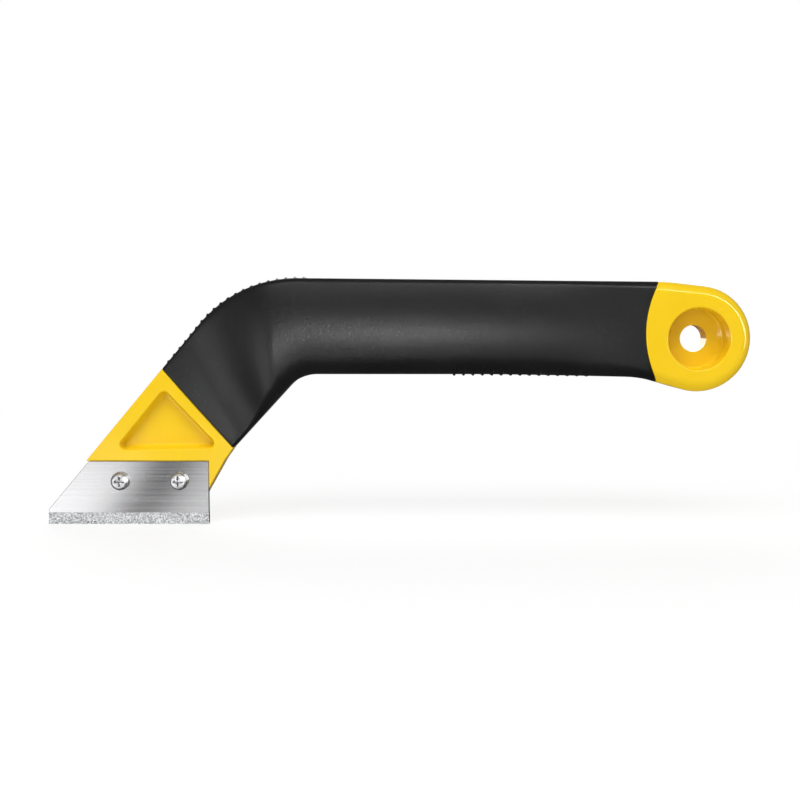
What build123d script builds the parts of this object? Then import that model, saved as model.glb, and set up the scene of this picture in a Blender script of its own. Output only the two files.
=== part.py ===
from build123d import *
from math import cos, radians, sin, tan
import os

# Grout rake: a cranked plastic handle with a soft grip moulded over it, and a grit-edged
# steel blade held in a step of the head by two screws and two captive nuts.
# Frame: +X along the handle towards the pommel, +Z up, -Y towards the blade's side.
# The origin is under the middle of the tool, level with the cutting edge. Millimetres.

os.makedirs("parts", exist_ok=True)

# ---------------------------------------------------------------- driving dimensions
overall_length = 216.3
handle_thick = 24.0
cut_margin = 10.0                # how far a cut runs past what it cuts

# head: a slab that runs on behind the blade, with a slanting front edge
head_thick = 10.0
head_edge_radius = 0.4
front_edge_slope = 49.6          # degrees
head_corner_x = -95.95           # where the head's lower outline starts, over the blade
head_shelf = 2.95                # level stretch of that outline, before it tucks behind the blade
head_bottom = 8.5
heel_corner = (-52.9, 20.2)
heel_bottom_x = -59.5

# pocket in each face of the head: a triangle with one side along each edge
pocket_corners = ((-71.5, 42.6), (-53.8, 23.8), (-87.4, 23.3))
pocket_corner_radius = 1.8
pocket_depth = 4.0
pocket_draft = 12.0
pocket_floor_radius = 1.2

# pommel: a thick disc with a hanging hole, counterbored from both faces
pommel_radius = 16.1
pommel_z = 57.95
pommel_edge_radius = 3.5
counterbore_radius = 9.4
counterbore_depth = 8.3
counterbore_lip_radius = 0.5
counterbore_floor_radius = 0.8
hang_hole_radius = 4.1
pommel_blank_x = 60.0            # where its blank starts, inside the grip
pommel_blank_top = 75.47
pommel_blank_low = 46.45
pommel_top_blend = 40.0          # radius where the top edge runs onto the round

# blade and its grit edge
blade_length = 50.0
blade_height = 19.7
blade_thick = 1.6
blade_tip_height = 4.6           # the short upright edge below the slanted one
blade_top_length = 37.3          # the level upper edge
blade_face_depth = 1.6           # how far its face lies behind the head's
grit_height = 3.75
grit_coat = 0.45                 # how far the grit stands out from the steel
seat_gap = 0.3                   # clearance round the blade in its step

# M3 fasteners
screw_spacing = 18.3
screw_height = 13.55
rear_screw_inset = 9.2           # from the blade's upright end
thread_radius = 1.5
screw_length = 8.0
screw_head_radius = 2.83
screw_head_height = 2.1
screw_head_flat = 2.25           # radius of the flat top
screw_head_wall = 0.84           # height of the upright rim below the rounded shoulder
screw_tip_chamfer = 0.4
recess_span = 3.0                # cross recess for the driver
recess_width = 0.75
recess_depth = 1.5
recess_draft = 14.0
nut_across_flats = 5.5
nut_height = 2.4
nut_bore_radius = 1.53
nut_face_flat = 2.65             # radius left flat where a cone takes the corners off
nut_cone_width = 0.7
nut_cone_drop = 0.35
nut_pocket_depth = 2.7
nut_pocket_gap = 0.05
clearance_hole_radius = 1.7

# grip: a soft sleeve over the core
grip_wall_side = 2.2
grip_wall_edge = 3.0
rib_height = 0.45
rib_width = 1.1
rib_share = 0.66                 # of the grip's thickness
rib_pitch = 2.73
rib_count = 20
underside_rib_height = 0.55      # the first one, under the bend
underside_rib_end_height = 0.2   # the last one, towards the pommel
underside_rib_width = 0.9
underside_rib_share = 0.8
underside_rib_pitch = 2.9
underside_rib_count = 15
underside_rib_start = 18.2
rib_root = 1.2                   # how deep a rib is rooted in the sleeve

# bar inside the grip
core_corner_radius = 1.0
core_let_in = 3.0                # how far the bar runs on into the head
window_xs = (-10.0, 20.0, 50.0)
window_z = 61.2
window_length = 16.0
window_height = 8.0

# cross-sections of the grip: thickness, bulge of the sides, top and bottom corner radii
neck_shape = (11.0, 0.3, 1.0, 1.0)
hand_shape = (24.0, 1.8, 1.7, 6.0)
end_shape = (24.0, 0.7, 2.4, 3.6)
neck_to_hand = (0.4, 2.1)        # 0 at the seam, 1 where the bend starts and 2 where it ends
hand_to_end = (45.0, 78.0)       # places along the handle
crank_stations_at = (0, 0.3, 0.6, 0.9, 1.2, 1.5, 1.75, 2)
handle_stations_at = (-16, -6, 8, 24, 40, 52, 62, 69, 74, 78, 82.3)

# ---------------------------------------------------------------- worked-out places
blade_left = -overall_length / 2
blade_right = blade_left + blade_length
pommel_x = overall_length / 2 - pommel_radius

head_face_y = -head_thick / 2
blade_face_y = head_face_y + blade_face_depth
seat_y = blade_face_y + blade_thick               # floor of the blade's step
screw_xs = (blade_right - rear_screw_inset - screw_spacing, blade_right - rear_screw_inset)

# where the grip meets the head: a straight seam across the neck
seam_top = (-72.0, 48.6)
seam_low = (-50.2, 24.0)

# where the neck's two edges, carried on straight, would meet the handle's
outer_corner = (-48.3, 76.55)
inner_corner = (-29.2, 46.97)
outer_bend_radius = 40.7
inner_bend_radius = 12.0

# the handle's long edges
top_end = (82.5, 75.25)
belly = (30.0, 46.95)
flare_corner = (74.7, 46.2)
belly_radius = 1200.0
flare_radius = 33.0
top_tangent = 6.5                # slopes at which the edges run onto the pommel, degrees
low_tangent = 16.1

# seam between the grip and the pommel: a round arc that bulges into the grip
pommel_seam_radius = 31.5
pommel_seam_x = 75.9
pommel_seam_z = 59.9


def on_pommel(angle):
    """Point on the pommel's rim, by its angle from straight up."""
    x = pommel_x + pommel_radius * sin(radians(angle))
    return (x, pommel_z + pommel_radius * cos(radians(angle)))


# ---------------------------------------------------------------- side outlines
with BuildLine(Plane.XZ) as outer_outline:
    FilletPolyline(seam_top, outer_corner, top_end, radius=outer_bend_radius)

with BuildLine(Plane.XZ) as inner_outline:
    FilletPolyline(
        seam_low,
        inner_corner,
        belly,
        flare_corner,
        on_pommel(180 + low_tangent),
        radius=[inner_bend_radius, belly_radius, flare_radius],
    )

outer_neck, outer_bend, top_edge = outer_outline.edges().sort_by(Axis.X)
inner_neck, inner_bend = inner_outline.edges().sort_by(Axis.X)[0:2]
low_edge = inner_outline.wire()
low_edge_start = inner_neck.length + inner_bend.length
bend_end_x = (inner_bend @ 1).X


# ---------------------------------------------------------------- grip cross-sections
def ease(value, start, end):
    """Smooth step from 0 at start to 1 at end."""
    t = min(max((value - start) / (end - start), 0), 1)
    return t * t * (3 - 2 * t)


def mix(first, second, share):
    """Cross-section part of the way from one shape to another."""
    return [a + (b - a) * share for a, b in zip(first, second)]


def crank_station(u):
    """Edge points and shape of the neck (u from 0 to 1) or of the bend (u from 1 to 2)."""
    outer, inner = (outer_neck, inner_neck) if u <= 1 else (outer_bend, inner_bend)
    f = u if u <= 1 else u - 1
    return outer @ f, inner @ f, mix(neck_shape, hand_shape, ease(u, *neck_to_hand))


def handle_station(x):
    """Edge points and shape of the straight handle at a place along it."""
    low = low_edge.position_at(low_edge_start + x - bend_end_x, PositionMode.LENGTH)
    run = (top_edge @ 1).X - (top_edge @ 0).X
    top = top_edge @ ((low.X - (top_edge @ 0).X) / run)
    return top, low, mix(hand_shape, end_shape, ease(x, *hand_to_end))


def upright_plane(top, low):
    """Section plane through two edge points: local X across the tool, local Y upwards."""
    up = (top - low).normalized()
    return Plane(origin=(top + low) / 2, x_dir=(0, 1, 0), z_dir=(up.Z, 0, -up.X))


def grip_section(top, low, shape, grow_side=0.0, grow_edge=0.0, window=None):
    """Cross-section: a tall rectangle with bulging sides and rounded corners.

    A window (centre height, width, height) keeps only the part inside that rectangle.
    """
    thick, bulge, top_radius, low_radius = shape
    half = thick / 2 + grow_side
    tall = (top - low).length / 2 + grow_edge
    with BuildSketch(upright_plane(top, low)) as section:
        with BuildLine():
            Line((bulge - half, tall), (half - bulge, tall))
            ThreePointArc((half - bulge, tall), (half, 0), (half - bulge, -tall))
            Line((half - bulge, -tall), (bulge - half, -tall))
            ThreePointArc((bulge - half, -tall), (-half, 0), (bulge - half, tall))
        make_face()
        fillet(section.vertices().group_by(Axis.Y)[-1], top_radius)
        fillet(section.vertices().group_by(Axis.Y)[0], low_radius)
        if window:
            with Locations((0, window[0])):
                Rectangle(window[1], window[2], mode=Mode.INTERSECT)
    return section.sketch


crank_stations = [crank_station(u) for u in crank_stations_at]
handle_stations = [handle_station(x) for x in handle_stations_at]
grip_stations = crank_stations + handle_stations

# ---------------------------------------------------------------- handle core
# One moulding: the head, the bar inside the grip, and the pommel.
into_head = (outer_neck @ 0 - outer_neck @ 1).normalized() * core_let_in
head_station = (outer_neck @ 0 + into_head, inner_neck @ 0 + into_head, neck_shape)
core_sections = [
    grip_section(
        top,
        low,
        (thick, bulge, core_corner_radius, core_corner_radius),
        -grip_wall_side,
        -grip_wall_edge,
    )
    for top, low, (thick, bulge, _, _) in [head_station] + grip_stations
]

# lower outline of the head: level over the blade, then parallel to the front edge behind it
head_corner = (head_corner_x, blade_height + seat_gap)
tucked_top = (head_corner_x + head_shelf, blade_height + seat_gap)
tucked_run = (tucked_top[1] - head_bottom) / tan(radians(front_edge_slope))
tucked_low = (tucked_top[0] - tucked_run, head_bottom)

with BuildPart() as pocket:
    with BuildSketch(Plane.XZ.offset(head_thick / 2)) as pocket_mouth:
        with BuildLine():
            Polyline(*pocket_corners, close=True)
        make_face()
        fillet(pocket_mouth.vertices(), pocket_corner_radius)
    extrude(amount=-pocket_depth, taper=pocket_draft)
    fillet(pocket.faces().sort_by(Axis.Y)[-1].edges(), pocket_floor_radius)

# round seam between the grip and the pommel
with BuildSketch(Plane.XZ) as pommel_seam:
    with Locations((pommel_seam_x + pommel_seam_radius, pommel_seam_z)):
        Circle(pommel_seam_radius)

# pommel: a blank with rounded rims, cut off along the seam
pommel_blank_start = (pommel_blank_x, pommel_blank_top)
pommel_blank_end = (pommel_blank_x, pommel_blank_low)

with BuildPart() as pommel:
    with BuildSketch(Plane.XZ):
        with BuildLine():
            FilletPolyline(
                pommel_blank_start, top_end, on_pommel(top_tangent), radius=pommel_top_blend
            )
            ThreePointArc(on_pommel(top_tangent), on_pommel(100), on_pommel(180 + low_tangent))
            FilletPolyline(
                on_pommel(180 + low_tangent), flare_corner, pommel_blank_end, radius=flare_radius
            )
            Line(pommel_blank_end, pommel_blank_start)
        make_face()
    extrude(amount=handle_thick / 2, both=True)
    fillet(pommel.faces().sort_by(Axis.Y)[0].edges(), pommel_edge_radius)
    fillet(pommel.faces().sort_by(Axis.Y)[-1].edges(), pommel_edge_radius)
    extrude(pommel_seam.sketch, amount=handle_thick, both=True, mode=Mode.INTERSECT)

with BuildPart() as handle_core:
    # head: a slab that runs on behind the blade
    with BuildSketch(Plane.XZ):
        with BuildLine():
            Polyline(
                head_corner,
                tucked_top,
                tucked_low,
                (heel_bottom_x, head_bottom),
                heel_corner,
                seam_low,
                seam_top,
                close=True,
            )
        make_face()
    extrude(amount=head_thick / 2, both=True)

    # step for the blade in the near face
    with BuildSketch(Plane.XZ.offset(-seat_y)):
        with Locations((blade_right + seat_gap, blade_height + seat_gap)):
            Rectangle(
                blade_length + cut_margin,
                blade_height + cut_margin,
                align=(Align.MAX, Align.MAX),
            )
    extrude(amount=head_thick, mode=Mode.SUBTRACT)
    fillet(handle_core.faces().sort_by(Axis.Y)[0].edges(), head_edge_radius)
    fillet(handle_core.faces().sort_by(Axis.Y)[-1].edges(), head_edge_radius)

    # weight-saving pockets, one in each face
    add(pocket.part, mode=Mode.SUBTRACT)
    add(mirror(pocket.part, about=Plane.XZ, mode=Mode.PRIVATE), mode=Mode.SUBTRACT)
    for near_or_far in (0, -1):
        rim = handle_core.faces().sort_by(Axis.Y)[near_or_far].inner_wires()[0]
        fillet(rim.edges(), head_edge_radius)

    # bar inside the grip, let into the head and the pommel
    loft(core_sections)

    # windows through the bar, which the grip's material flows through
    with BuildSketch(Plane.XZ):
        with Locations(*((x, window_z) for x in window_xs)):
            SlotOverall(window_length, window_height)
    extrude(amount=handle_thick, both=True, mode=Mode.SUBTRACT)

    # pommel, its hanging hole and the counterbores
    add(pommel.part)
    for side in (1, -1):
        with Locations(Plane((pommel_x, -side * handle_thick / 2, pommel_z), z_dir=(0, -side, 0))):
            CounterBoreHole(hang_hole_radius, counterbore_radius, counterbore_depth, handle_thick)
    counterbore_rims = handle_core.edges().filter_by(GeomType.CIRCLE).filter_by(
        lambda edge: abs(edge.radius - counterbore_radius) < 0.01
    )
    fillet(counterbore_rims.sort_by(Axis.Y)[0], counterbore_lip_radius)
    fillet(counterbore_rims.sort_by(Axis.Y)[-1], counterbore_lip_radius)
    fillet(counterbore_rims.sort_by(Axis.Y)[1:-1], counterbore_floor_radius)

    # screw holes from the step, nut pockets from the far face
    for x in screw_xs:
        with Locations(Plane((x, seat_y, screw_height), z_dir=(0, -1, 0))):
            Hole(clearance_hole_radius, head_thick)
    with BuildSketch(Plane.XZ.offset(-head_thick / 2)):
        with Locations(*((x, screw_height) for x in screw_xs)):
            RegularPolygon(
                nut_across_flats / 2 + nut_pocket_gap, 6, major_radius=False, rotation=30
            )
    extrude(amount=nut_pocket_depth, mode=Mode.SUBTRACT)

handle_core.part.label = "handle_core"
export_step(handle_core.part, "parts/handle_core.step")

# ---------------------------------------------------------------- grip sleeve
rib_end = outer_neck.length + outer_bend.length


def rib_station(distance):
    """Station of the neck or bend at a distance along its outer edge from the seam."""
    if distance <= outer_neck.length:
        return crank_station(distance / outer_neck.length)
    return crank_station(1 + (distance - outer_neck.length) / outer_bend.length)


with BuildPart() as grip_sleeve:
    loft([grip_section(top, low, shape) for top, low, shape in grip_stations])

    # cross ribs over the outside of the neck and bend
    first_rib = rib_end - rib_pitch * (rib_count - 1)
    for k in range(rib_count):
        top, low, shape = rib_station(first_rib + k * rib_pitch)
        tall = (top - low).length / 2
        window = (tall, rib_share * shape[0], 2 * rib_root)
        extrude(
            grip_section(top, low, shape, rib_height, rib_height, window),
            amount=rib_width / 2,
            both=True,
        )

    # smaller ribs under the handle, lower towards the pommel
    for k in range(underside_rib_count):
        top, low, shape = handle_station(underside_rib_start + k * underside_rib_pitch)
        tall = (top - low).length / 2
        share = k / (underside_rib_count - 1)
        height = underside_rib_height + (underside_rib_end_height - underside_rib_height) * share
        window = (-tall, underside_rib_share * shape[0], 2 * rib_root)
        extrude(
            grip_section(top, low, shape, height, height, window),
            amount=underside_rib_width / 2,
            both=True,
        )

    # the core fills the inside, and the pommel's round seam ends the sleeve
    extrude(pommel_seam.sketch, amount=handle_thick, both=True, mode=Mode.SUBTRACT)
    add(handle_core.part, mode=Mode.SUBTRACT)

grip_sleeve.part.label = "grip_sleeve"
export_step(grip_sleeve.part, "parts/grip_sleeve.step")

# ---------------------------------------------------------------- blade and grit edge
slant_foot = (blade_left, blade_tip_height)
slant_top = (blade_right - blade_top_length, blade_height)

with BuildPart() as blade:
    with BuildSketch(Plane.XZ.offset(-seat_y)):
        with BuildLine():
            Polyline(
                (blade_left, grit_coat),
                (blade_right, grit_coat),
                (blade_right, blade_height),
                slant_top,
                slant_foot,
                close=True,
            )
        make_face()
        with Locations(*((x, screw_height) for x in screw_xs)):
            Circle(clearance_hole_radius, mode=Mode.SUBTRACT)
    extrude(amount=blade_thick)

blade.part.label = "blade"
export_step(blade.part, "parts/blade.step")

with BuildPart() as carbide_grit_edge:
    with BuildSketch(Plane.XZ.offset(-seat_y - grit_coat)):
        with Locations((blade_left, 0)):
            Rectangle(blade_length, grit_height, align=Align.MIN)
    extrude(amount=blade_thick + 2 * grit_coat)
    add(blade.part, mode=Mode.SUBTRACT)

carbide_grit_edge.part.label = "carbide_grit_edge"
export_step(carbide_grit_edge.part, "parts/carbide_grit_edge.step")

# ---------------------------------------------------------------- screws and nuts
nut_face_y = head_thick / 2 - nut_pocket_depth + nut_height      # its outer face

for place, x in zip(("front", "rear"), screw_xs):
    # both turn about a line across the tool; their profiles have local Y pointing out of it
    turning_axis = Axis((x, 0, screw_height), (0, -1, 0))
    screw_profile = Plane((x, blade_face_y, screw_height), x_dir=(1, 0, 0), z_dir=(0, 0, -1))
    nut_profile = Plane((x, nut_face_y, screw_height), x_dir=(1, 0, 0), z_dir=(0, 0, -1))

    with BuildPart() as screw:
        with BuildSketch(screw_profile):
            with BuildLine():
                TangentArc(
                    (screw_head_radius, screw_head_wall),
                    (screw_head_flat, screw_head_height),
                    tangent=(0, 1),
                )
                Polyline(
                    (screw_head_flat, screw_head_height),
                    (0, screw_head_height),
                    (0, -screw_length),
                    (thread_radius - screw_tip_chamfer, -screw_length),
                    (thread_radius, screw_tip_chamfer - screw_length),
                    (thread_radius, 0),
                    (screw_head_radius, 0),
                    (screw_head_radius, screw_head_wall),
                )
            make_face()
        revolve(axis=turning_axis)
        # cross recess for the driver, narrowing as it goes down
        with BuildSketch(Plane(screw_profile.origin, (1, 0, 0), (0, -1, 0)).offset(screw_head_height)):
            Rectangle(recess_span, recess_width)
            Rectangle(recess_width, recess_span)
        extrude(amount=-recess_depth, taper=recess_draft, mode=Mode.SUBTRACT)
    screw.part.label = f"blade_screw_{place}"
    export_step(screw.part, f"parts/blade_screw_{place}.step")

    with BuildPart() as nut:
        with BuildSketch(Plane(nut_profile.origin, (1, 0, 0), (0, -1, 0))):
            RegularPolygon(nut_across_flats / 2, 6, major_radius=False, rotation=30)
            Circle(nut_bore_radius, mode=Mode.SUBTRACT)
        extrude(amount=nut_height)
        # a shallow cone takes the corners off both faces
        with BuildSketch(nut_profile):
            with BuildLine():
                Polyline(
                    (0, 0),
                    (nut_face_flat, 0),
                    (nut_face_flat + nut_cone_width, nut_cone_drop),
                    (nut_face_flat + nut_cone_width, nut_height - nut_cone_drop),
                    (nut_face_flat, nut_height),
                    (0, nut_height),
                    close=True,
                )
            make_face()
        revolve(axis=turning_axis, mode=Mode.INTERSECT)
    nut.part.label = f"hex_nut_{place}"
    export_step(nut.part, f"parts/hex_nut_{place}.step")
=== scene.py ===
from math import asin, atan2, cos, pi, radians, sin, sqrt, tan

import bmesh
import bpy
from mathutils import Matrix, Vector, noise


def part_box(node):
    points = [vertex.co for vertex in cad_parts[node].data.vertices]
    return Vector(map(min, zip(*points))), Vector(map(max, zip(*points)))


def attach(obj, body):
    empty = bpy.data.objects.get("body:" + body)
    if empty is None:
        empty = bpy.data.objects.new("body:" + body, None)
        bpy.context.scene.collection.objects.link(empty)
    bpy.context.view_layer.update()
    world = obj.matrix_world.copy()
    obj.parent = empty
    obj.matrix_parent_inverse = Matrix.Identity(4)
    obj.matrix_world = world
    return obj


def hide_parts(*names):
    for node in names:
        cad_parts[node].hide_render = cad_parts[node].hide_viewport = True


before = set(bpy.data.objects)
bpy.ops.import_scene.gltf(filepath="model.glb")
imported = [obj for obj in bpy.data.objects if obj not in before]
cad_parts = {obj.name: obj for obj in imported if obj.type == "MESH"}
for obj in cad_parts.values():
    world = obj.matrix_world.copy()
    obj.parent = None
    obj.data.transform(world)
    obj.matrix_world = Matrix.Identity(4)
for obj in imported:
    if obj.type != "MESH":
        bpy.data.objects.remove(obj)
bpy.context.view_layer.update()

MM = 0.001

# ------------------------------------------------------------------ dimensions, mm
# the grip's two long edges: corners of the side outline and the radii that round them
OUTER_CORNERS = [(-72.0, 48.6), (-48.3, 76.55), (82.5, 75.25)]
OUTER_RADII = [40.7]
INNER_CORNERS = [(-50.2, 24.0), (-29.2, 46.97), (30.0, 46.95), (74.7, 46.2), (87.585, 42.48)]
INNER_RADII = [12.0, 1200.0, 33.0]

# cross-sections: thickness, bulge of the sides, top corner radius, low corner radius
NECK_SHAPE = (11.0, 0.3, 1.0, 1.0)
HAND_SHAPE = (24.0, 1.8, 1.7, 6.0)
END_SHAPE = (24.0, 0.7, 2.4, 3.6)

SEAM_CENTRE = (107.4, 59.9)      # the round seam against the pommel
SEAM_RADIUS = 31.5
SEAM_BLEND_START = 62.0          # where the sections start to follow that seam

# along the outer edge from the seam, where the neck's section turns and widens
TURN_END = 13.0                  # how far past the bend the sections are upright at last
WIDEN_START, WIDEN_END = 10.0, 46.0
WIDEN_LEAD = 8.0                 # how far ahead the lower edge widens
SEAM_RUN = 6.0                   # stretch beside the seam over which the widening sets in
NARROW_START, NARROW_END = 45.0, 78.0     # places in x where the hand's section changes

# ribs over the bend and finer ones under the fingers
RIB_HEIGHT, RIB_WIDTH, RIB_PITCH, RIB_COUNT = 0.45, 1.15, 2.73, 20
LAST_RIB_X = -27.8               # the last rib over the bend, counted from the seam
RIB_ENDS = (0.62, 0.74)          # share of the half thickness over which a rib dies out
LOW_RIB_HEIGHT, LOW_RIB_WIDTH, LOW_RIB_PITCH, LOW_RIB_COUNT = 0.55, 0.9, 2.9, 15
LOW_RIB_START = 18.2
LOW_RIB_FADE = 0.35              # how much lower the last low rib is than the first
LOW_RIB_ENDS = (0.74, 0.88)

# how finely the grip is cut
SIDE_STEPS, CORNER_STEPS, FLAT_STEPS = 22, 9, 12
RIBBED_SPACING, PLAIN_SPACING = 1.0, 1.5
HALVINGS = 40                    # to find where a section meets the inner edge
SEAM_PASSES = 6                  # to settle a point on the round seam

# blade, its grit and its fixings
PLATE_LEFT, PLATE_RIGHT, PLATE_TOP = -108.15, -58.15, 19.7
PLATE_TIP_HEIGHT, PLATE_SLANT_TOP = 4.6, -95.45
PLATE_NEAR, PLATE_FAR = -3.4, -1.8
PLATE_BEVEL = 0.12
PLATE_HOLE_RADIUS, HOLE_STEPS = 1.7, 48
GRIT_HEIGHT, GRIT_COAT = 3.75, 0.45
GRIT_STEP = 0.16                 # spacing of the grit's points
GRAIN_SIZE, GRAIN_DEPTH = 0.34, 0.10
SWELL_SCALE, SWELL_DEPTH = 1.9, 0.05      # slow rise and fall of the coat
SCREW_XS, SCREW_Z = (-85.65, -67.35), 13.55
SCREW_LENGTH = 8.0
THREAD_RADIUS, THREAD_ROOT, THREAD_PITCH = 1.5, 1.2, 0.5
SHANK_RADIUS = THREAD_RADIUS - 0.12       # plain stretch under the head
TIP_RADIUS, TIP_BEVEL = 0.9, 0.45
RECESS_SPAN, RECESS_WIDTH, RECESS_DEPTH = 1.6, 0.43, 1.5
RECESS_DRAFT = 0.26
RECESS_PLACE = 2.1               # the recess's mouth above the blade's face
NUT_BORE, NUT_THREAD_DEPTH, NUT_COUNTERSINK = 1.53, 0.18, 1.85
NUT_BEVEL = 0.12
AROUND = 72                      # points round a turned skin

# the camera, whose lens is in mm as well
CAMERA_PLACE, CAMERA_TARGET = (1.5, -381.06, 65.45), (1.5, 0.0, 38.6)
LENS, SENSOR_WIDTH = 54.9, 36.0


# ------------------------------------------------------------------ small helpers
def ease(value, start, end):
    """Smooth step from 0 at start to 1 at end."""
    t = min(max((value - start) / (end - start), 0.0), 1.0)
    return t * t * (3 - 2 * t)


def mix(first, second, share):
    """Numbers part of the way from one list to another."""
    return [a + (b - a) * share for a, b in zip(first, second)]


def mesh_piece(name, points, faces, body, replaced, material, smooth_angle):
    """Object from points in millimetres, riding on a body and standing for CAD nodes."""
    mesh = bpy.data.meshes.new(name)
    mesh.from_pydata([Vector(p) * MM for p in points], [], faces)
    bm = bmesh.new()
    bm.from_mesh(mesh)
    bmesh.ops.recalc_face_normals(bm, faces=bm.faces)
    bm.to_mesh(mesh)
    bm.free()
    piece = bpy.data.objects.new(name, mesh)
    bpy.context.scene.collection.objects.link(piece)
    mesh.materials.append(material)
    mesh.shade_smooth()
    mesh.set_sharp_from_angle(angle=radians(smooth_angle))
    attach(piece, body)
    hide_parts(replaced)
    return piece


def ring_faces(rings, around, closed=True):
    """Quads between rings of equal length; a closed skin gets a face over each end."""
    faces = []
    for r in range(rings - 1):
        for k in range(around):
            a, b = r * around + k, r * around + (k + 1) % around
            faces.append((a, b, b + around, a + around))
    if closed:
        faces.append(tuple(range(around - 1, -1, -1)))
        faces.append(tuple((rings - 1) * around + k for k in range(around)))
    return faces


# ------------------------------------------------------------------ the grip's outlines
class RoundedPath:
    """A line through corners, each rounded by an arc; point() walks along it."""

    def __init__(self, corners, radii):
        """Cut the line into straight runs and arcs: length, start, direction and turn."""
        corners = [Vector(c) for c in corners]
        self.runs = []
        start = corners[0]
        for before, corner, after, radius in zip(corners, corners[1:], corners[2:], radii):
            into, out = (corner - before).normalized(), (after - corner).normalized()
            turn = atan2(into.x * out.y - into.y * out.x, into.dot(out))
            setback = radius * tan(abs(turn) / 2)
            arc_start = corner - into * setback
            self.runs.append(((arc_start - start).length, start, into, 0.0))
            self.runs.append((radius * abs(turn), arc_start, into, turn))
            start = corner + out * setback
        last = corners[-1] - start
        self.runs.append((last.length, start, last.normalized(), 0.0))

    def length(self, count):
        """Length of the first few runs."""
        return sum(run[0] for run in self.runs[:count])

    def point(self, distance):
        """Place at a distance along the path; the first and last runs go on straight."""
        for index, (length, start, along, turn) in enumerate(self.runs):
            if distance <= length or index == len(self.runs) - 1:
                break
            distance -= length
        if turn == 0.0:
            return start + along * distance
        radius = length / abs(turn)
        side = 1 if turn > 0 else -1
        centre = start + Vector((-along.y, along.x)) * radius * side
        swing = distance / radius * side
        arm = start - centre
        return centre + Vector(
            (arm.x * cos(swing) - arm.y * sin(swing), arm.x * sin(swing) + arm.y * cos(swing))
        )


outer_path = RoundedPath(OUTER_CORNERS, OUTER_RADII)
inner_path = RoundedPath(INNER_CORNERS, INNER_RADII)
crank_length = outer_path.length(2)       # to the end of the bend
seam_top, seam_low = OUTER_CORNERS[0], INNER_CORNERS[0]
SEAM_ANGLE = atan2(seam_low[1] - seam_top[1], seam_low[0] - seam_top[0])
UPRIGHT = -pi / 2


def section_at(distance):
    """Edge points of the section at a distance along the outer edge, and that distance.

    The section's line turns slowly from the seam's slope to upright, and its lower end is
    where it crosses the inner edge.
    """
    top = outer_path.point(distance)
    share = ease(distance, 0.0, crank_length + TURN_END)
    angle = SEAM_ANGLE + (UPRIGHT - SEAM_ANGLE) * share
    line = Vector((cos(angle), sin(angle)))
    near, far = -1.0, inner_path.length(len(inner_path.runs))
    for _ in range(HALVINGS):
        middle = (near + far) / 2
        reach = inner_path.point(middle) - top
        if line.x * reach.y - line.y * reach.x > 0:
            far = middle
        else:
            near = middle
    return top, inner_path.point(near), distance


def distance_at(x):
    """Distance along the outer edge of a place on the straight handle."""
    start, end = outer_path.point(crank_length), Vector(OUTER_CORNERS[-1])
    return crank_length + (x - start.x) / (end - start).normalized().x


def section_profile(tall, shape):
    """Points (y, z) and the angles of their normals round a section of this half height."""
    thick, bulge, top_radius, low_radius = shape
    half = thick / 2
    side_radius = (tall * tall + bulge * bulge) / (2 * bulge)
    side_centre = half - side_radius
    corners = []
    for radius, up in ((low_radius, -1), (top_radius, 1)):
        height = tall - radius
        across = side_centre + sqrt((side_radius - radius) ** 2 - height * height)
        corners.append((across, up * height, radius, asin(height / (side_radius - radius)) * up))
    (low_x, low_z, low_r, low_angle), (top_x, top_z, top_r, top_angle) = corners
    right = []
    for k in range(FLAT_STEPS // 2):
        right.append((low_x * k / (FLAT_STEPS // 2), -tall, -pi / 2))
    for k in range(CORNER_STEPS):
        angle = -pi / 2 + (low_angle + pi / 2) * k / CORNER_STEPS
        right.append((low_x + low_r * cos(angle), low_z + low_r * sin(angle), angle))
    for k in range(SIDE_STEPS):
        angle = low_angle + (top_angle - low_angle) * k / SIDE_STEPS
        right.append((side_centre + side_radius * cos(angle), side_radius * sin(angle), angle))
    for k in range(CORNER_STEPS):
        angle = top_angle + (pi / 2 - top_angle) * k / CORNER_STEPS
        right.append((top_x + top_r * cos(angle), top_z + top_r * sin(angle), angle))
    for k in range(FLAT_STEPS // 2):
        right.append((top_x * (1 - k / (FLAT_STEPS // 2)), tall, pi / 2))
    right.append((0.0, tall, pi / 2))
    left = [(-x, z, pi - angle) for x, z, angle in reversed(right[1:-1])]
    return right + left


def rib_bump(offset, width):
    """Height of a rounded rib, 0 to 1, at an offset from its middle."""
    t = abs(2 * offset / width)
    return (1 - t ** 1.7) ** 0.8 if t < 1 else 0.0


def blended_profile(distance, x, tall):
    """Section profile between the neck's and the hand's; the lower edge widens first."""
    wide_shape = mix(HAND_SHAPE, END_SHAPE, ease(x, NARROW_START, NARROW_END))
    wide = section_profile(tall, wide_shape)
    points = []
    for narrow_point, wide_point in zip(section_profile(tall, NECK_SHAPE), wide):
        drop = (tall - wide_point[1]) / (2 * tall)
        share = ease(distance + WIDEN_LEAD * drop, WIDEN_START, WIDEN_END)
        points.append(mix(narrow_point, wide_point, share * ease(distance, 0.0, SEAM_RUN)))
    return points


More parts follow.
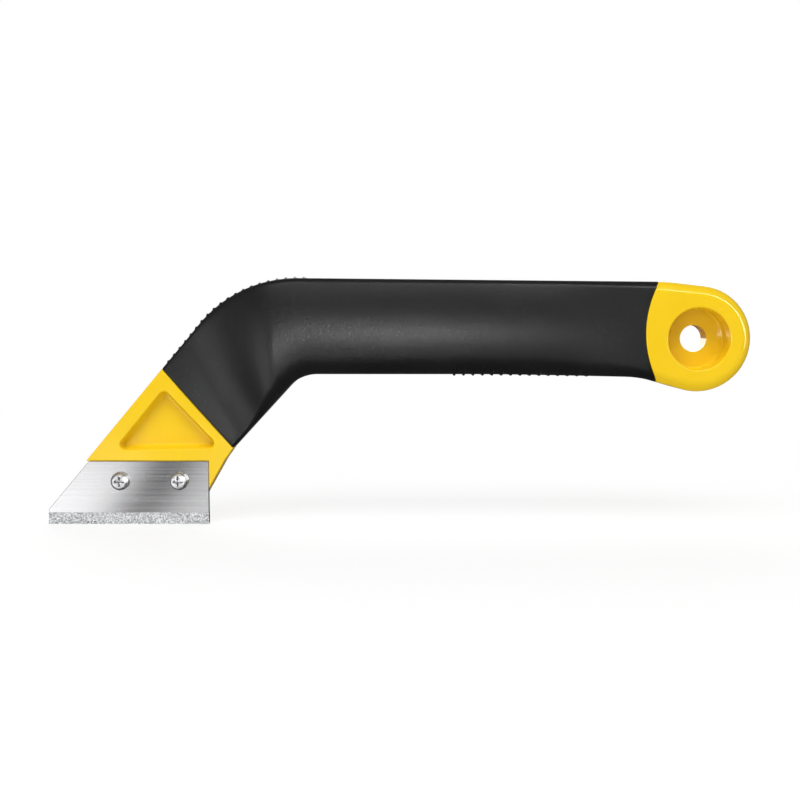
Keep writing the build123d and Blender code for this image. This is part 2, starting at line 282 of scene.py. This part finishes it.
def placed(section, grow=0.0, rib=0.0, low_rib=0.0):
    """Ring of points of one section, grown outwards and raised where it carries a rib."""
    top, low, distance = section
    up = (top - low).normalized()
    middle = (top + low) / 2
    profile = blended_profile(distance, top.x, (top - low).length / 2)
    half = max(y for y, _, _ in profile)
    rib_ends = [share * half for share in RIB_ENDS]
    low_rib_ends = [share * half for share in LOW_RIB_ENDS]
    ring = []
    for y, z, angle in profile:
        lift = grow
        if rib and sin(angle) > 0:
            lift += rib * (1 - ease(abs(y), *rib_ends))
        if low_rib and sin(angle) < 0:
            lift += low_rib * (1 - ease(abs(y), *low_rib_ends))
        y, z = y + lift * cos(angle), z + lift * sin(angle)
        ring.append((middle.x + up.x * z, y, middle.y + up.y * z))
    return ring


def seam_x(z):
    """Where the pommel's round seam is at a height."""
    return SEAM_CENTRE[0] - sqrt(SEAM_RADIUS ** 2 - (z - SEAM_CENTRE[1]) ** 2)


def end_ring(share, grow=0.0):
    """Ring part of the way from the plain sections to the round seam."""
    ring = []
    plain = placed(section_at(distance_at(SEAM_BLEND_START)))
    for k in range(len(plain)):
        x = SEAM_BLEND_START
        for _ in range(SEAM_PASSES):
            point = placed(section_at(distance_at(x)), grow)[k]
            x = SEAM_BLEND_START + share * (seam_x(point[2]) - SEAM_BLEND_START)
        ring.append((x, point[1], point[2]))
    return ring


def rib_stations(centres, width, start, end, spacing):
    """Places along a run: nine over each rib, and plain ones between."""
    over_rib = (-0.5, -0.47, -0.38, -0.2, 0, 0.2, 0.38, 0.47, 0.5)
    places = []
    for centre in centres:
        places += [centre + width * share for share in over_rib]
    clear = 0.55 * width
    plain = int((end - start) / spacing)
    for k in range(plain + 1):
        place = start + (end - start) * k / plain
        if all(abs(place - centre) > clear for centre in centres):
            places.append(place)
    return sorted(places)


def build_grip(material):
    """Soft grip as one skin of rings, from the seam at the head to the pommel's seam."""
    last_rib = distance_at(LAST_RIB_X)
    ribs = [last_rib - RIB_PITCH * k for k in range(RIB_COUNT)]
    low_ribs = [distance_at(LOW_RIB_START + LOW_RIB_PITCH * k) for k in range(LOW_RIB_COUNT)]
    rings = []
    # a softly rounded end against the head
    for distance, inset in ((0.0, -0.6), (0.03, -0.35), (0.12, -0.15), (0.3, 0.0)):
        rings.append(placed(section_at(distance), inset))
    first_place = 0.8
    plain_start = last_rib + RIB_PITCH
    over_bend = rib_stations(ribs, RIB_WIDTH, first_place, plain_start, RIBBED_SPACING)
    along_handle = rib_stations(
        low_ribs,
        LOW_RIB_WIDTH,
        plain_start + RIBBED_SPACING,
        distance_at(SEAM_BLEND_START),
        PLAIN_SPACING,
    )
    for distance in over_bend + along_handle:
        lift = max(rib_bump(distance - centre, RIB_WIDTH) for centre in ribs) * RIB_HEIGHT
        low_lift = 0.0
        for k, centre in enumerate(low_ribs):
            height = LOW_RIB_HEIGHT - LOW_RIB_FADE * k / (LOW_RIB_COUNT - 1)
            low_lift = max(low_lift, rib_bump(distance - centre, LOW_RIB_WIDTH) * height)
        rings.append(placed(section_at(distance), rib=lift, low_rib=low_lift))
    for share in (0.12, 0.25, 0.37, 0.49, 0.6, 0.7, 0.79, 0.87, 0.93, 0.97, 0.985):
        rings.append(end_ring(share))
    # and another against the pommel
    for share, inset in ((0.994, -0.06), (0.998, -0.2), (1.0, -0.5)):
        rings.append(end_ring(share, inset))
    points = [p for ring in rings for p in ring]
    faces = ring_faces(len(rings), len(rings[0]))
    mesh_piece("grip_skin", points, faces, "handle", "grip_sleeve", material, 50)


# ------------------------------------------------------------------ materials
def new_material(name, **sockets):
    """Principled material with its constant sockets set directly on the shader."""
    material = bpy.data.materials.new(name)
    material.use_nodes = True
    shader = material.node_tree.nodes["Principled BSDF"]
    for socket, value in sockets.items():
        shader.inputs[socket.replace("_", " ")].default_value = value
    return material, material.node_tree, shader


def add_node(tree, kind, **settings):
    """Shader node with its properties and unlinked sockets set by name."""
    node = tree.nodes.new(kind)
    for key, value in settings.items():
        if hasattr(node, key):
            setattr(node, key, value)
        else:
            node.inputs[key.replace("_", " ")].default_value = value
    return node


def object_coordinates(tree, scale=(1, 1, 1)):
    """Object coordinates in millimetres, stretched by scale."""
    coordinates = add_node(tree, "ShaderNodeTexCoord")
    mapping = add_node(tree, "ShaderNodeMapping")
    mapping.inputs["Scale"].default_value = [s / MM for s in scale]
    tree.links.new(coordinates.outputs["Object"], mapping.inputs["Vector"])
    return mapping.outputs["Vector"]


def noise_texture(tree, vector, scale, detail, roughness=0.5):
    """Noise from 0 to 1 with scale grains to the millimetre."""
    node = add_node(tree, "ShaderNodeTexNoise", Scale=scale, Detail=detail, Roughness=roughness)
    tree.links.new(vector, node.inputs["Vector"])
    return node.outputs["Fac"]


def ramp(tree, factor, stops):
    """Colour ramp from (position, colour) stops."""
    node = add_node(tree, "ShaderNodeValToRGB")
    elements = node.color_ramp.elements
    while len(elements) < len(stops):
        elements.new(0.5)
    for element, (position, colour) in zip(elements, stops):
        element.position = position
        element.color = (*colour, 1)
    tree.links.new(factor, node.inputs["Fac"])
    return node.outputs["Color"]


def remap(tree, value, low, high, new_low, new_high):
    """Value moved from one range to another and held inside it."""
    node = add_node(tree, "ShaderNodeMapRange")
    for socket, number in zip(
        ("From Min", "From Max", "To Min", "To Max"), (low, high, new_low, new_high)
    ):
        node.inputs[socket].default_value = number
    tree.links.new(value, node.inputs["Value"])
    return node.outputs["Result"]


def bump(tree, shader, height, distance_mm, strength):
    """Fine relief in the shader's normal."""
    node = add_node(tree, "ShaderNodeBump", Strength=strength, Distance=distance_mm * MM)
    tree.links.new(height, node.inputs["Height"])
    tree.links.new(node.outputs["Normal"], shader.inputs["Normal"])


def yellow_plastic():
    """Glossy injection moulding with faint flow marks and fine orange peel."""
    material, tree, shader = new_material(
        "yellow_plastic", IOR=1.48, Coat_Weight=0.3, Coat_Roughness=0.07
    )
    place = object_coordinates(tree)
    flow = noise_texture(tree, place, 0.035, 4.0, 0.6)
    colour = ramp(tree, flow, [(0.3, (0.82, 0.53, 0.006)), (0.7, (0.86, 0.57, 0.009))])
    tree.links.new(colour, shader.inputs["Base Color"])
    peel = noise_texture(tree, place, 0.9, 2.0)
    tree.links.new(remap(tree, peel, 0.3, 0.7, 0.14, 0.22), shader.inputs["Roughness"])
    bump(tree, shader, peel, 0.01, 0.2)
    return material


def black_rubber():
    """Soft-touch overmould: charcoal black with a fine spark-eroded grain."""
    material, tree, shader = new_material("black_rubber", IOR=1.5)
    place = object_coordinates(tree)
    grain = noise_texture(tree, place, 2.2, 3.0, 0.6)
    cloud = noise_texture(tree, place, 0.06, 3.0, 0.5)
    colour = ramp(tree, cloud, [(0.35, (0.0065, 0.0065, 0.0068)), (0.65, (0.009, 0.009, 0.0094))])
    tree.links.new(colour, shader.inputs["Base Color"])
    tree.links.new(remap(tree, grain, 0.3, 0.7, 0.27, 0.35), shader.inputs["Roughness"])
    bump(tree, shader, grain, 0.05, 0.35)
    return material


def brushed_steel():
    """Blade steel ground along its length, so the strokes run from end to end."""
    material, tree, shader = new_material(
        "brushed_steel", Metallic=1.0, Anisotropic=0.7, Anisotropic_Rotation=0.25
    )
    strokes = noise_texture(tree, object_coordinates(tree, (0.012, 1, 5.0)), 1.0, 5.0, 0.65)
    colour = ramp(tree, strokes, [(0.3, (0.60, 0.60, 0.61)), (0.7, (0.80, 0.80, 0.81))])
    tree.links.new(colour, shader.inputs["Base Color"])
    tree.links.new(remap(tree, strokes, 0.3, 0.7, 0.1, 0.15), shader.inputs["Roughness"])
    tangent = add_node(tree, "ShaderNodeTangent", direction_type="UV_MAP")
    tree.links.new(tangent.outputs["Tangent"], shader.inputs["Tangent"])
    bump(tree, shader, strokes, 0.003, 0.3)
    return material


def carbide_grit():
    """Grains of tungsten carbide in braze: light facets with dark gaps."""
    material, tree, shader = new_material("carbide_grit", Metallic=0.25)
    place = object_coordinates(tree)
    grains = add_node(tree, "ShaderNodeTexVoronoi", Scale=3.2)
    tree.links.new(place, grains.inputs["Vector"])
    colour = ramp(
        tree,
        grains.outputs["Color"],
        [(0.1, (0.20, 0.205, 0.21)), (0.5, (0.58, 0.59, 0.60)), (0.9, (0.93, 0.94, 0.95))],
    )
    tree.links.new(colour, shader.inputs["Base Color"])
    tree.links.new(
        remap(tree, grains.outputs["Distance"], 0.0, 0.6, 0.35, 0.7), shader.inputs["Roughness"]
    )
    bump(tree, shader, grains.outputs["Distance"], 0.06, 0.6)
    return material


def zinc_plate(name, tint):
    """Bright zinc over cold-headed steel, with faint tool marks."""
    material, tree, shader = new_material(name, Metallic=1.0)
    marks = noise_texture(tree, object_coordinates(tree), 1.6, 4.0, 0.6)
    colour = ramp(tree, marks, [(0.3, [0.9 * c for c in tint]), (0.7, tint)])
    tree.links.new(colour, shader.inputs["Base Color"])
    tree.links.new(remap(tree, marks, 0.3, 0.7, 0.26, 0.38), shader.inputs["Roughness"])
    bump(tree, shader, marks, 0.01, 0.3)
    return material


# ------------------------------------------------------------------ blade and grit
def build_blade(material):
    """Plate with two holes and eased edges, from a filled outline curve."""
    curve = bpy.data.curves.new("blade_outline", "CURVE")
    curve.dimensions = "2D"
    curve.fill_mode = "BOTH"
    curve.extrude = ((PLATE_FAR - PLATE_NEAR) / 2 - PLATE_BEVEL) * MM
    curve.bevel_depth = PLATE_BEVEL * MM
    curve.bevel_resolution = 2
    curve.offset = -PLATE_BEVEL * MM
    corners = [
        (PLATE_LEFT, GRIT_COAT),
        (PLATE_RIGHT, GRIT_COAT),
        (PLATE_RIGHT, PLATE_TOP),
        (PLATE_SLANT_TOP, PLATE_TOP),
        (PLATE_LEFT, PLATE_TIP_HEIGHT),
    ]
    loops = [corners]
    for x in SCREW_XS:
        turns = [2 * pi * k / HOLE_STEPS for k in range(HOLE_STEPS)]
        radius = PLATE_HOLE_RADIUS
        loops.append([(x + radius * cos(t), SCREW_Z - radius * sin(t)) for t in turns])
    for loop in loops:
        spline = curve.splines.new("POLY")
        spline.points.add(len(loop) - 1)
        for point, (x, z) in zip(spline.points, loop):
            point.co = (x * MM, z * MM, 0, 1)
        spline.use_cyclic_u = True
    outline = bpy.data.objects.new("blade_outline", curve)
    mesh = bpy.data.meshes.new_from_object(outline)
    bpy.data.objects.remove(outline)
    middle = (PLATE_NEAR + PLATE_FAR) / 2
    points = [(v.co.x / MM, middle - v.co.z / MM, v.co.y / MM) for v in mesh.vertices]
    faces = [tuple(p.vertices) for p in mesh.polygons]
    bpy.data.meshes.remove(mesh)
    blade = mesh_piece(
        "blade_plate", points, faces, "blade_unit", "blade", material, 30
    )
    bm = bmesh.new()
    bm.from_mesh(blade.data)
    bmesh.ops.remove_doubles(bm, verts=bm.verts, dist=0.001 * MM)
    layer = bm.loops.layers.uv.new("along")
    per_metre = 10
    for face in bm.faces:
        for corner in face.loops:
            x, y, z = (per_metre * c for c in corner.vert.co)
            corner[layer].uv = (x, z + y)
    bm.to_mesh(blade.data)
    bm.free()
    # flat faces keep flat normals, so the blade mirrors the studio like a ground plate
    blade.data.set_sharp_from_angle(angle=radians(8))


def build_grit(material):
    """U-shaped coat round the plate's lower edge, its outside broken up into grains."""
    out_near, out_far = PLATE_NEAR - GRIT_COAT, PLATE_FAR + GRIT_COAT
    chamfer = 0.1
    top, side = GRIT_HEIGHT - chamfer, GRIT_HEIGHT - 2 * chamfer
    lip_in, lip_top = 0.2, GRIT_HEIGHT - chamfer / 2
    rise = int(side / GRIT_STEP)
    across = int((out_far - out_near) / GRIT_STEP)
    below = [(out_far - out_near) * (k + 1) / (across + 2) for k in range(across + 1)]
    outline = [(PLATE_NEAR, GRIT_COAT), (PLATE_NEAR, top), (PLATE_NEAR - lip_in, lip_top)]
    outline += [(out_near, top - side * k / rise) for k in range(rise + 1)]
    outline += [(out_near + reach, 0.0) for reach in below]
    outline += [(out_far, chamfer + side * k / rise) for k in range(rise + 1)]
    outline += [(PLATE_FAR + lip_in, lip_top), (PLATE_FAR, top), (PLATE_FAR, GRIT_COAT)]
    against_plate = (0, 1, len(outline) - 2, len(outline) - 1)
    count = int((PLATE_RIGHT - PLATE_LEFT) / GRIT_STEP)
    centre = Vector(((PLATE_NEAR + PLATE_FAR) / 2, 1.0))
    points = []
    for i in range(count + 1):
        x = PLATE_LEFT + (PLATE_RIGHT - PLATE_LEFT) * i / count
        for j, (y, z) in enumerate(outline):
            if j in against_plate:
                points.append((x, y, z))
                continue
            spot = Vector((x, y, z))
            grain = noise.cell_vector(spot / GRAIN_SIZE)[0] * GRAIN_DEPTH
            grain += (noise.noise(spot * SWELL_SCALE) + 1) * SWELL_DEPTH
            outward = Vector((y, z)) - centre
            pull = Vector((y, z)) - outward.normalized() * grain
            points.append((x, pull.x, max(pull.y, 0.0)))
    faces = ring_faces(count + 1, len(outline))
    mesh_piece(
        "grit_coat", points, faces, "blade_unit", "carbide_grit_edge", material, 60
    )


# ------------------------------------------------------------------ screws and nuts
def turned(x, y_of_profile, profile):
    """Points of a skin turned about a line across the tool; either measure may vary."""
    points = []
    for along, radius in profile:
        for k in range(AROUND):
            angle = 2 * pi * k / AROUND
            r = radius(angle) if callable(radius) else radius
            a = along(angle) if callable(along) else along
            points.append((x + r * cos(angle), y_of_profile - a, SCREW_Z + r * sin(angle)))
    return points


def thread_radius(along):
    """Radius round the shank at a depth below the head, as a function of the angle."""
    crest_flat = 1.25            # how far the teeth run past their crest before it is cut flat
    run_in_start, run_in_end = 0.1, 0.7

    def radius(angle):
        """Thread that runs in below the head and is chamfered at the tip."""
        phase = (along / THREAD_PITCH - angle / (2 * pi)) % 1.0
        tooth = 1 - abs(2 * phase - 1)
        crest = THREAD_ROOT + (THREAD_RADIUS - THREAD_ROOT) * min(1.0, tooth * crest_flat)
        tip_limit = THREAD_RADIUS - TIP_BEVEL + (SCREW_LENGTH + along)
        run_in = ease(-along, run_in_start, run_in_end)
        return min(SHANK_RADIUS + (crest - SHANK_RADIUS) * run_in, max(tip_limit, TIP_RADIUS))

    return radius


def cross_cutter(x, top):
    """Tapered cross that sinks the driver recess into a screw head."""
    bm = bmesh.new()
    least, above, steeper = 0.06, 0.3, 0.6
    levels = ((above, 0.0), (0.0, 0.0), (-RECESS_DEPTH, RECESS_DEPTH * RECESS_DRAFT))
    for wide, tall in ((RECESS_SPAN, RECESS_WIDTH), (RECESS_WIDTH, RECESS_SPAN)):
        rings = []
        for level, shrink in levels:
            ring = []
            reach = max(wide - shrink, least)
            height = max(tall - shrink * steeper, least)
            for sx, sz in ((-1, -1), (1, -1), (1, 1), (-1, 1)):
                corner = Vector((x + sx * reach, top - level, SCREW_Z + sz * height))
                ring.append(bm.verts.new(corner * MM))
            rings.append(ring)
        for lower, upper in zip(rings, rings[1:]):
            for k in range(4):
                bm.faces.new((lower[k], lower[(k + 1) % 4], upper[(k + 1) % 4], upper[k]))
        bm.faces.new(rings[0])
        bm.faces.new(list(reversed(rings[-1])))
    bmesh.ops.recalc_face_normals(bm, faces=bm.faces)
    mesh = bpy.data.meshes.new("cross_cutter")
    bm.to_mesh(mesh)
    bm.free()
    cutter = bpy.data.objects.new("cross_cutter", mesh)
    bpy.context.scene.collection.objects.link(cutter)
    return cutter


def build_screw(name, x, body, node, material):
    """Pan head with a crowned top and a rolled rim, threaded shank, chamfered tip."""
    # height over the blade's face and radius, from the crown's middle down to the shank
    profile = [(2.08, 0.01), (2.08, 0.6), (2.075, 1.2), (2.06, 1.7), (2.03, 2.1), (1.97, 2.28)]
    profile += [(1.86, 2.45), (1.7, 2.6), (1.45, 2.73), (1.15, 2.8), (0.84, 2.83), (0.12, 2.83)]
    profile += [(0.03, 2.8), (0.0, 2.72), (0.0, 1.6), (-0.05, SHANK_RADIUS)]
    per_turn = 8
    samples = int(SCREW_LENGTH / THREAD_PITCH * per_turn)
    for k in range(1, samples):
        along = -SCREW_LENGTH * k / samples
        profile.append((along, thread_radius(along)))
    profile += [(-SCREW_LENGTH, TIP_RADIUS), (-SCREW_LENGTH, 0.01)]
    screw = mesh_piece(
        name,
        turned(x, PLATE_NEAR, profile),
        ring_faces(len(profile), AROUND),
        body,
        node,
        material,
        40,
    )
    cutter = cross_cutter(x, PLATE_NEAR - RECESS_PLACE)
    modifier = screw.modifiers.new("recess", "BOOLEAN")
    modifier.operation, modifier.solver, modifier.object = "DIFFERENCE", "EXACT", cutter
    modifier.use_self = True
    depsgraph = bpy.context.evaluated_depsgraph_get()
    cut = bpy.data.meshes.new_from_object(screw.evaluated_get(depsgraph))
    screw.modifiers.clear()
    screw.data = cut
    bpy.data.objects.remove(cutter)
    cut.set_sharp_from_angle(angle=radians(35))


def build_nut(name, x, node, material):
    """Hexagon with corners chamfered on both faces and a threaded bore."""
    low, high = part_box(node)
    face_y, height = high.y / MM, (high.y - low.y) / MM
    flat = (high.x - low.x) / MM / 2
    bevelled = flat - NUT_BEVEL

    def hexagon(angle):
        """Distance from the middle to the flats at an angle."""
        swing = (angle + pi / 6) % (pi / 3) - pi / 6
        return flat / cos(swing)

    def chamfer(angle):
        """How far a 30 degree cone takes the corner down at an angle."""
        return max(0.0, (hexagon(angle) - bevelled) * tan(radians(30)))

    def far_chamfer(angle):
        """The same from the other face."""
        return height - chamfer(angle)

    def bore(along):
        """Radius of the threaded bore at a depth, as a function of the angle."""

        def radius(angle):
            """Thread cut outwards from the bore."""
            phase = (along / THREAD_PITCH - angle / (2 * pi)) % 1.0
            return NUT_BORE + NUT_THREAD_DEPTH * abs(2 * phase - 1)

        return radius

    def shifted(along):
        """The same measure counted from the tool's middle plane, not the nut's face."""
        if callable(along):
            return lambda angle: along(angle) - face_y
        return along - face_y

    profile = [(0.0, NUT_COUNTERSINK), (0.0, bevelled)]
    profile += [(chamfer, hexagon), (far_chamfer, hexagon)]
    profile += [(height, bevelled), (height, NUT_COUNTERSINK)]
    samples = 30
    for k in range(1, samples):
        along = height * (1 - k / samples)
        profile.append((along, bore(along)))
    points = turned(x, 0.0, [(shifted(along), radius) for along, radius in profile])
    faces = ring_faces(len(profile), AROUND, closed=False)
    last = (len(profile) - 1) * AROUND
    faces += [(last + k, last + (k + 1) % AROUND, (k + 1) % AROUND, k) for k in range(AROUND)]
    mesh_piece(name, points, faces, "handle", node, material, 35)


# ------------------------------------------------------------------ studio
def softbox(name, place, width, height, power):
    """Large soft light for the diffuse shading; its mirror image is left to the cards."""
    data = bpy.data.lights.new(name, "AREA")
    data.shape = "RECTANGLE"
    data.size, data.size_y = width, height
    data.energy = power
    light = bpy.data.objects.new(name, data)
    light.visible_glossy = False
    light.location = place
    towards = Vector((0, 0, 0.05)) - light.location
    light.rotation_euler = towards.to_track_quat("-Z", "Y").to_euler()
    bpy.context.scene.collection.objects.link(light)


def card(name, corners, glow):
    """Glowing card that only shows in reflections; its corners are in metres."""
    mesh = bpy.data.meshes.new(name)
    mesh.from_pydata(corners, [], [tuple(range(len(corners)))])
    material = bpy.data.materials.new(name)
    material.use_nodes = True
    tree = material.node_tree
    tree.nodes.clear()
    output = add_node(tree, "ShaderNodeOutputMaterial")
    emission = add_node(tree, "ShaderNodeEmission", Strength=glow)
    emission.inputs["Color"].default_value = (1, 1, 1, 1)
    tree.links.new(emission.outputs["Emission"], output.inputs["Surface"])
    material.cycles.emission_sampling = "NONE"
    mesh.materials.append(material)
    panel = bpy.data.objects.new(name, mesh)
    panel.visible_camera = panel.visible_diffuse = panel.visible_shadow = False
    bpy.context.scene.collection.objects.link(panel)
    return material


def front_card(name, outline, glow):
    """Card upright behind the camera, from its outline's (x, z) corners."""
    behind_camera = -0.7
    return card(name, [(x, behind_camera, z) for x, z in outline], glow)


def graded_card(name, outline, across, levels, glow):
    """Front card whose glow changes along a direction; levels are (distance in mm, share)."""
    tree = front_card(name, outline, glow).node_tree
    place = add_node(tree, "ShaderNodeTexCoord")
    along = add_node(tree, "ShaderNodeVectorMath", operation="DOT_PRODUCT")
    tree.links.new(place.outputs["Object"], along.inputs[0])
    along.inputs[1].default_value = [c / MM for c in across]
    first, last = levels[0][0], levels[-1][0]
    share = remap(tree, along.outputs["Value"], first, last, 0.0, 1.0)
    stops = [((at - first) / (last - first), (level, level, level)) for at, level in levels]
    tree.links.new(ramp(tree, share, stops), tree.nodes["Emission"].inputs["Color"])


def crescent_card(name, centre, outer, inner, start, end, glow):
    """Curved strip light between two ellipses, pointed at its ends; each is (width, height)."""
    steps, fullness = 24, 0.7
    rims = [[], []]
    for k in range(steps + 1):
        angle = radians(start + (end - start) * k / steps)
        full = sin(pi * k / steps) ** fullness
        sizes = outer, [o + (i - o) * full for o, i in zip(outer, inner)]
        for rim, (wide, tall) in zip(rims, sizes):
            rim.append((centre[0] + wide * cos(angle), centre[1], centre[2] + tall * sin(angle)))
    card(name, rims[0] + list(reversed(rims[1][1:-1])), glow)


def build_floor():
    """Pale floor that fades into the white backdrop a little way from the tool."""
    mesh = bpy.data.meshes.new("floor")
    half = 4.0
    corners = [(-half, -half, 0), (half, -half, 0), (half, half, 0), (-half, half, 0)]
    mesh.from_pydata(corners, [], [(0, 1, 2, 3)])
    floor = bpy.data.objects.new("floor", mesh)
    bpy.context.scene.collection.objects.link(floor)
    material, tree, shader = new_material("pale_floor", Roughness=0.9)
    place = object_coordinates(tree)
    tone = noise_texture(tree, place, 0.004, 2.0)
    colour = ramp(tree, tone, [(0.3, (0.90, 0.90, 0.90)), (0.7, (0.93, 0.93, 0.93))])
    tree.links.new(colour, shader.inputs["Base Color"])
    away = add_node(tree, "ShaderNodeVectorMath", operation="LENGTH")
    tree.links.new(place, away.inputs[0])
    white = add_node(tree, "ShaderNodeEmission", Strength=1.0)
    white.inputs["Color"].default_value = (1, 1, 1, 1)
    fade = add_node(tree, "ShaderNodeMixShader")
    tree.links.new(remap(tree, away.outputs["Value"], 150.0, 500.0, 0.8, 1.0), fade.inputs[0])
    tree.links.new(shader.outputs["BSDF"], fade.inputs[1])
    tree.links.new(white.outputs["Emission"], fade.inputs[2])
    tree.links.new(fade.outputs["Shader"], tree.nodes["Material Output"].inputs["Surface"])
    material.cycles.emission_sampling = "NONE"
    mesh.materials.append(material)
    floor.visible_glossy = False


def build_world():
    """White backdrop for the camera; the tool itself sees a dim room, darker below."""
    world = bpy.data.worlds.new("studio")
    bpy.context.scene.world = world
    world.use_nodes = True
    tree = world.node_tree
    room = tree.nodes["Background"]
    room.inputs["Color"].default_value = (1, 1, 1, 1)
    direction = add_node(tree, "ShaderNodeTexCoord")
    split = add_node(tree, "ShaderNodeSeparateXYZ")
    tree.links.new(direction.outputs["Generated"], split.inputs["Vector"])
    tree.links.new(remap(tree, split.outputs["Z"], -0.4, 0.1, 0.05, 0.16), room.inputs["Strength"])
    backdrop = add_node(tree, "ShaderNodeBackground", Strength=1.0)
    backdrop.inputs["Color"].default_value = (1, 1, 1, 1)
    seen = add_node(tree, "ShaderNodeLightPath")
    join = add_node(tree, "ShaderNodeMixShader")
    tree.links.new(seen.outputs["Is Camera Ray"], join.inputs[0])
    tree.links.new(room.outputs["Background"], join.inputs[1])
    tree.links.new(backdrop.outputs["Background"], join.inputs[2])
    tree.links.new(join.outputs["Shader"], tree.nodes["World Output"].inputs["Surface"])


def build_camera():
    """Lens 55 mm, 0.38 m in front of the tool and looking 4 degrees down."""
    data = bpy.data.cameras.new("camera")
    data.lens, data.sensor_width = LENS, SENSOR_WIDTH
    data.clip_start, data.clip_end = 0.01, 50.0
    camera = bpy.data.objects.new("camera", data)
    camera.location = Vector(CAMERA_PLACE) * MM
    target = Vector(CAMERA_TARGET) * MM
    camera.rotation_euler = (target - camera.location).to_track_quat("-Z", "Y").to_euler()
    bpy.context.scene.collection.objects.link(camera)
    bpy.context.scene.camera = camera


# ------------------------------------------------------------------ the scene
yellow, rubber = yellow_plastic(), black_rubber()
steel, grit = brushed_steel(), carbide_grit()
screw_zinc = zinc_plate("screw_zinc_plate", (0.86, 0.86, 0.87))
nut_zinc = zinc_plate("nut_zinc_plate", (0.80, 0.80, 0.78))

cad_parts["handle_core"].data.materials[0] = yellow
build_grip(rubber)
build_blade(steel)
build_grit(grit)
for place, x in zip(("front", "rear"), SCREW_XS):
    build_screw(f"screw_{place}", x, f"{place}_screw", f"blade_screw_{place}", screw_zinc)
    build_nut(f"nut_{place}", x, f"hex_nut_{place}", nut_zinc)

build_floor()
build_world()
build_camera()
softbox("overhead_light", (-0.05, -0.7, 1.0), 1.2, 0.6, 13)
softbox("front_light", (-0.45, -1.0, 0.3), 0.8, 0.5, 2.5)
softbox("back_light", (0, 0.9, 0.8), 1.0, 0.6, 9)
front_card("key_card", [(-0.085, -0.02), (0.07, -0.025), (0.07, 0.035), (-0.11, 0.035)], 18.5)
front_card("neck_card", [(-0.6, -0.03), (-0.3, -0.03), (-0.3, 0.09), (-0.6, 0.09)], 1.5)
front_card("upper_card", [(-0.3, 0.38), (-0.05, 0.38), (0.1, 0.42), (0.1, 0.5), (-0.3, 0.6)], 2.2)
graded_card(
    "blade_card",
    [(-0.75, -0.5), (-0.12, -0.5), (-0.12, -0.045), (-0.75, -0.045)],
    (0.82, 0, -0.572),
    [(-700, 0.9), (-200, 1.0), (-152, 1.0), (-138, 0.0), (-114, 0.0), (-101, 0.6), (-60, 0.62)],
    1.5,
)
crescent_card("pommel_card", (0.19, -0.41, 0.058), (0.72, 0.3), (0.42, 0.21), -30, 105, 12)
card(
    "back_card",
    [(-0.15, 0.7, 0.05), (0.35, 0.7, 0.05), (0.35, 0.7, 0.35), (-0.15, 0.7, 0.35)],
    2.5,
)

bpy.context.scene.view_settings.view_transform = "Standard"
